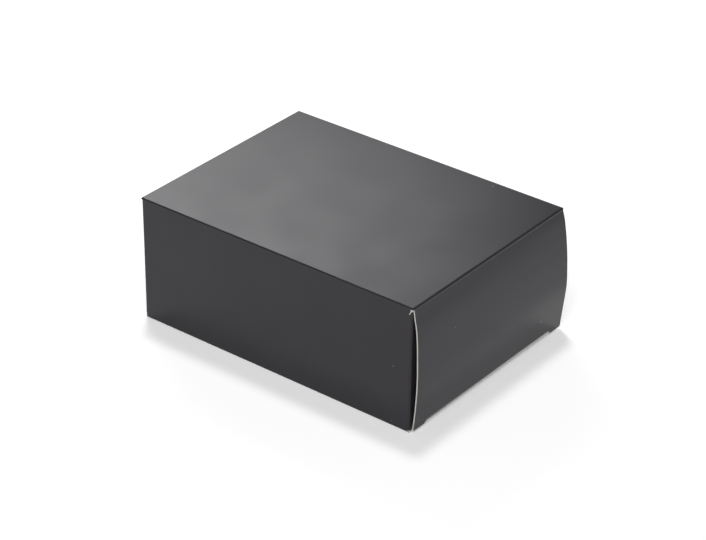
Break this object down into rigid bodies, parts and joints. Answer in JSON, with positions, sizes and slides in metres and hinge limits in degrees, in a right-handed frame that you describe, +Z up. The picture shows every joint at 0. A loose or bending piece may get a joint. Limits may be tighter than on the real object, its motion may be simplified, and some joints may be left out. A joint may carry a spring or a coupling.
{
  "type": "tuck-end carton",
  "caption": "Folding carton of thin black board with hinged end lids, tuck flaps and dust flaps, for packing small goods.",
  "frame": {"origin": "on the surface under the carton, at the middle of the bottom panel between the two end folds", "axes": "+X along the carton towards the bowed lid, +Y from the front panel to the back panel, +Z up"},
  "size_m": [0.1255, 0.09, 0.05],
  "materials": {
    "black_board": "satin",
    "glue": "matte"
  },
  "bodies": {
    "sleeve": {"front_panel": "black_board", "top_panel": "black_board", "back_panel": "black_board", "bottom_panel": "black_board", "glue_flap": "black_board", "glue_line": "glue"},
    "right_end_lid": {"right_lid": "black_board"},
    "right_end_tuck": {"right_tuck_flap": "black_board"},
    "right_end_front_dust": {"right_front_dust_flap": "black_board"},
    "right_end_back_dust": {"right_back_dust_flap": "black_board"},
    "left_end_lid": {"left_lid": "black_board"},
    "left_end_tuck": {"left_tuck_flap": "black_board"},
    "left_end_front_dust": {"left_front_dust_flap": "black_board"},
    "left_end_back_dust": {"left_back_dust_flap": "black_board"}
  },
  "joints": [
    {"name": "right_lid_crease", "type": "hinge", "parent": "sleeve", "child": "right_end_lid", "pos_m": [0.06075, 0, 0.0495], "axis": [0, -1, 0], "range_deg": [0, 180]},
    {"name": "right_tuck_crease", "type": "hinge", "parent": "right_end_lid", "child": "right_end_tuck", "pos_m": [0.06195, 0, 0.0026], "axis": [0, -1, 0], "range_deg": [0, 90]},
    {"name": "right_front_dust_crease", "type": "hinge", "parent": "sleeve", "child": "right_end_front_dust", "pos_m": [0.06015, -0.0445, 0.025], "axis": [0, 0, -1], "range_deg": [0, 90]},
    {"name": "right_back_dust_crease", "type": "hinge", "parent": "sleeve", "child": "right_end_back_dust", "pos_m": [0.06015, 0.0445, 0.025], "axis": [0, 0, 1], "range_deg": [0, 90]},
    {"name": "left_lid_crease", "type": "hinge", "parent": "sleeve", "child": "left_end_lid", "pos_m": [-0.06075, 0, 0.0495], "axis": [0, 1, 0], "range_deg": [0, 180]},
    {"name": "left_tuck_crease", "type": "hinge", "parent": "left_end_lid", "child": "left_end_tuck", "pos_m": [-0.06075, 0, 0.0026], "axis": [0, 1, 0], "range_deg": [0, 90]},
    {"name": "left_front_dust_crease", "type": "hinge", "parent": "sleeve", "child": "left_end_front_dust", "pos_m": [-0.06015, -0.0445, 0.025], "axis": [0, 0, 1], "range_deg": [0, 90]},
    {"name": "left_back_dust_crease", "type": "hinge", "parent": "sleeve", "child": "left_end_back_dust", "pos_m": [-0.06015, 0.0445, 0.025], "axis": [0, 0, -1], "range_deg": [0, 90]}
  ],
  "couplings": [
    {"joint": "right_tuck_crease", "follows": "right_lid_crease", "ratio": 0.5},
    {"joint": "right_front_dust_crease", "follows": "right_lid_crease", "ratio": 0.5},
    {"joint": "right_back_dust_crease", "follows": "right_lid_crease", "ratio": 0.5},
    {"joint": "left_tuck_crease", "follows": "left_lid_crease", "ratio": 0.5},
    {"joint": "left_front_dust_crease", "follows": "left_lid_crease", "ratio": 0.5},
    {"joint": "left_back_dust_crease", "follows": "left_lid_crease", "ratio": 0.5}
  ]
}
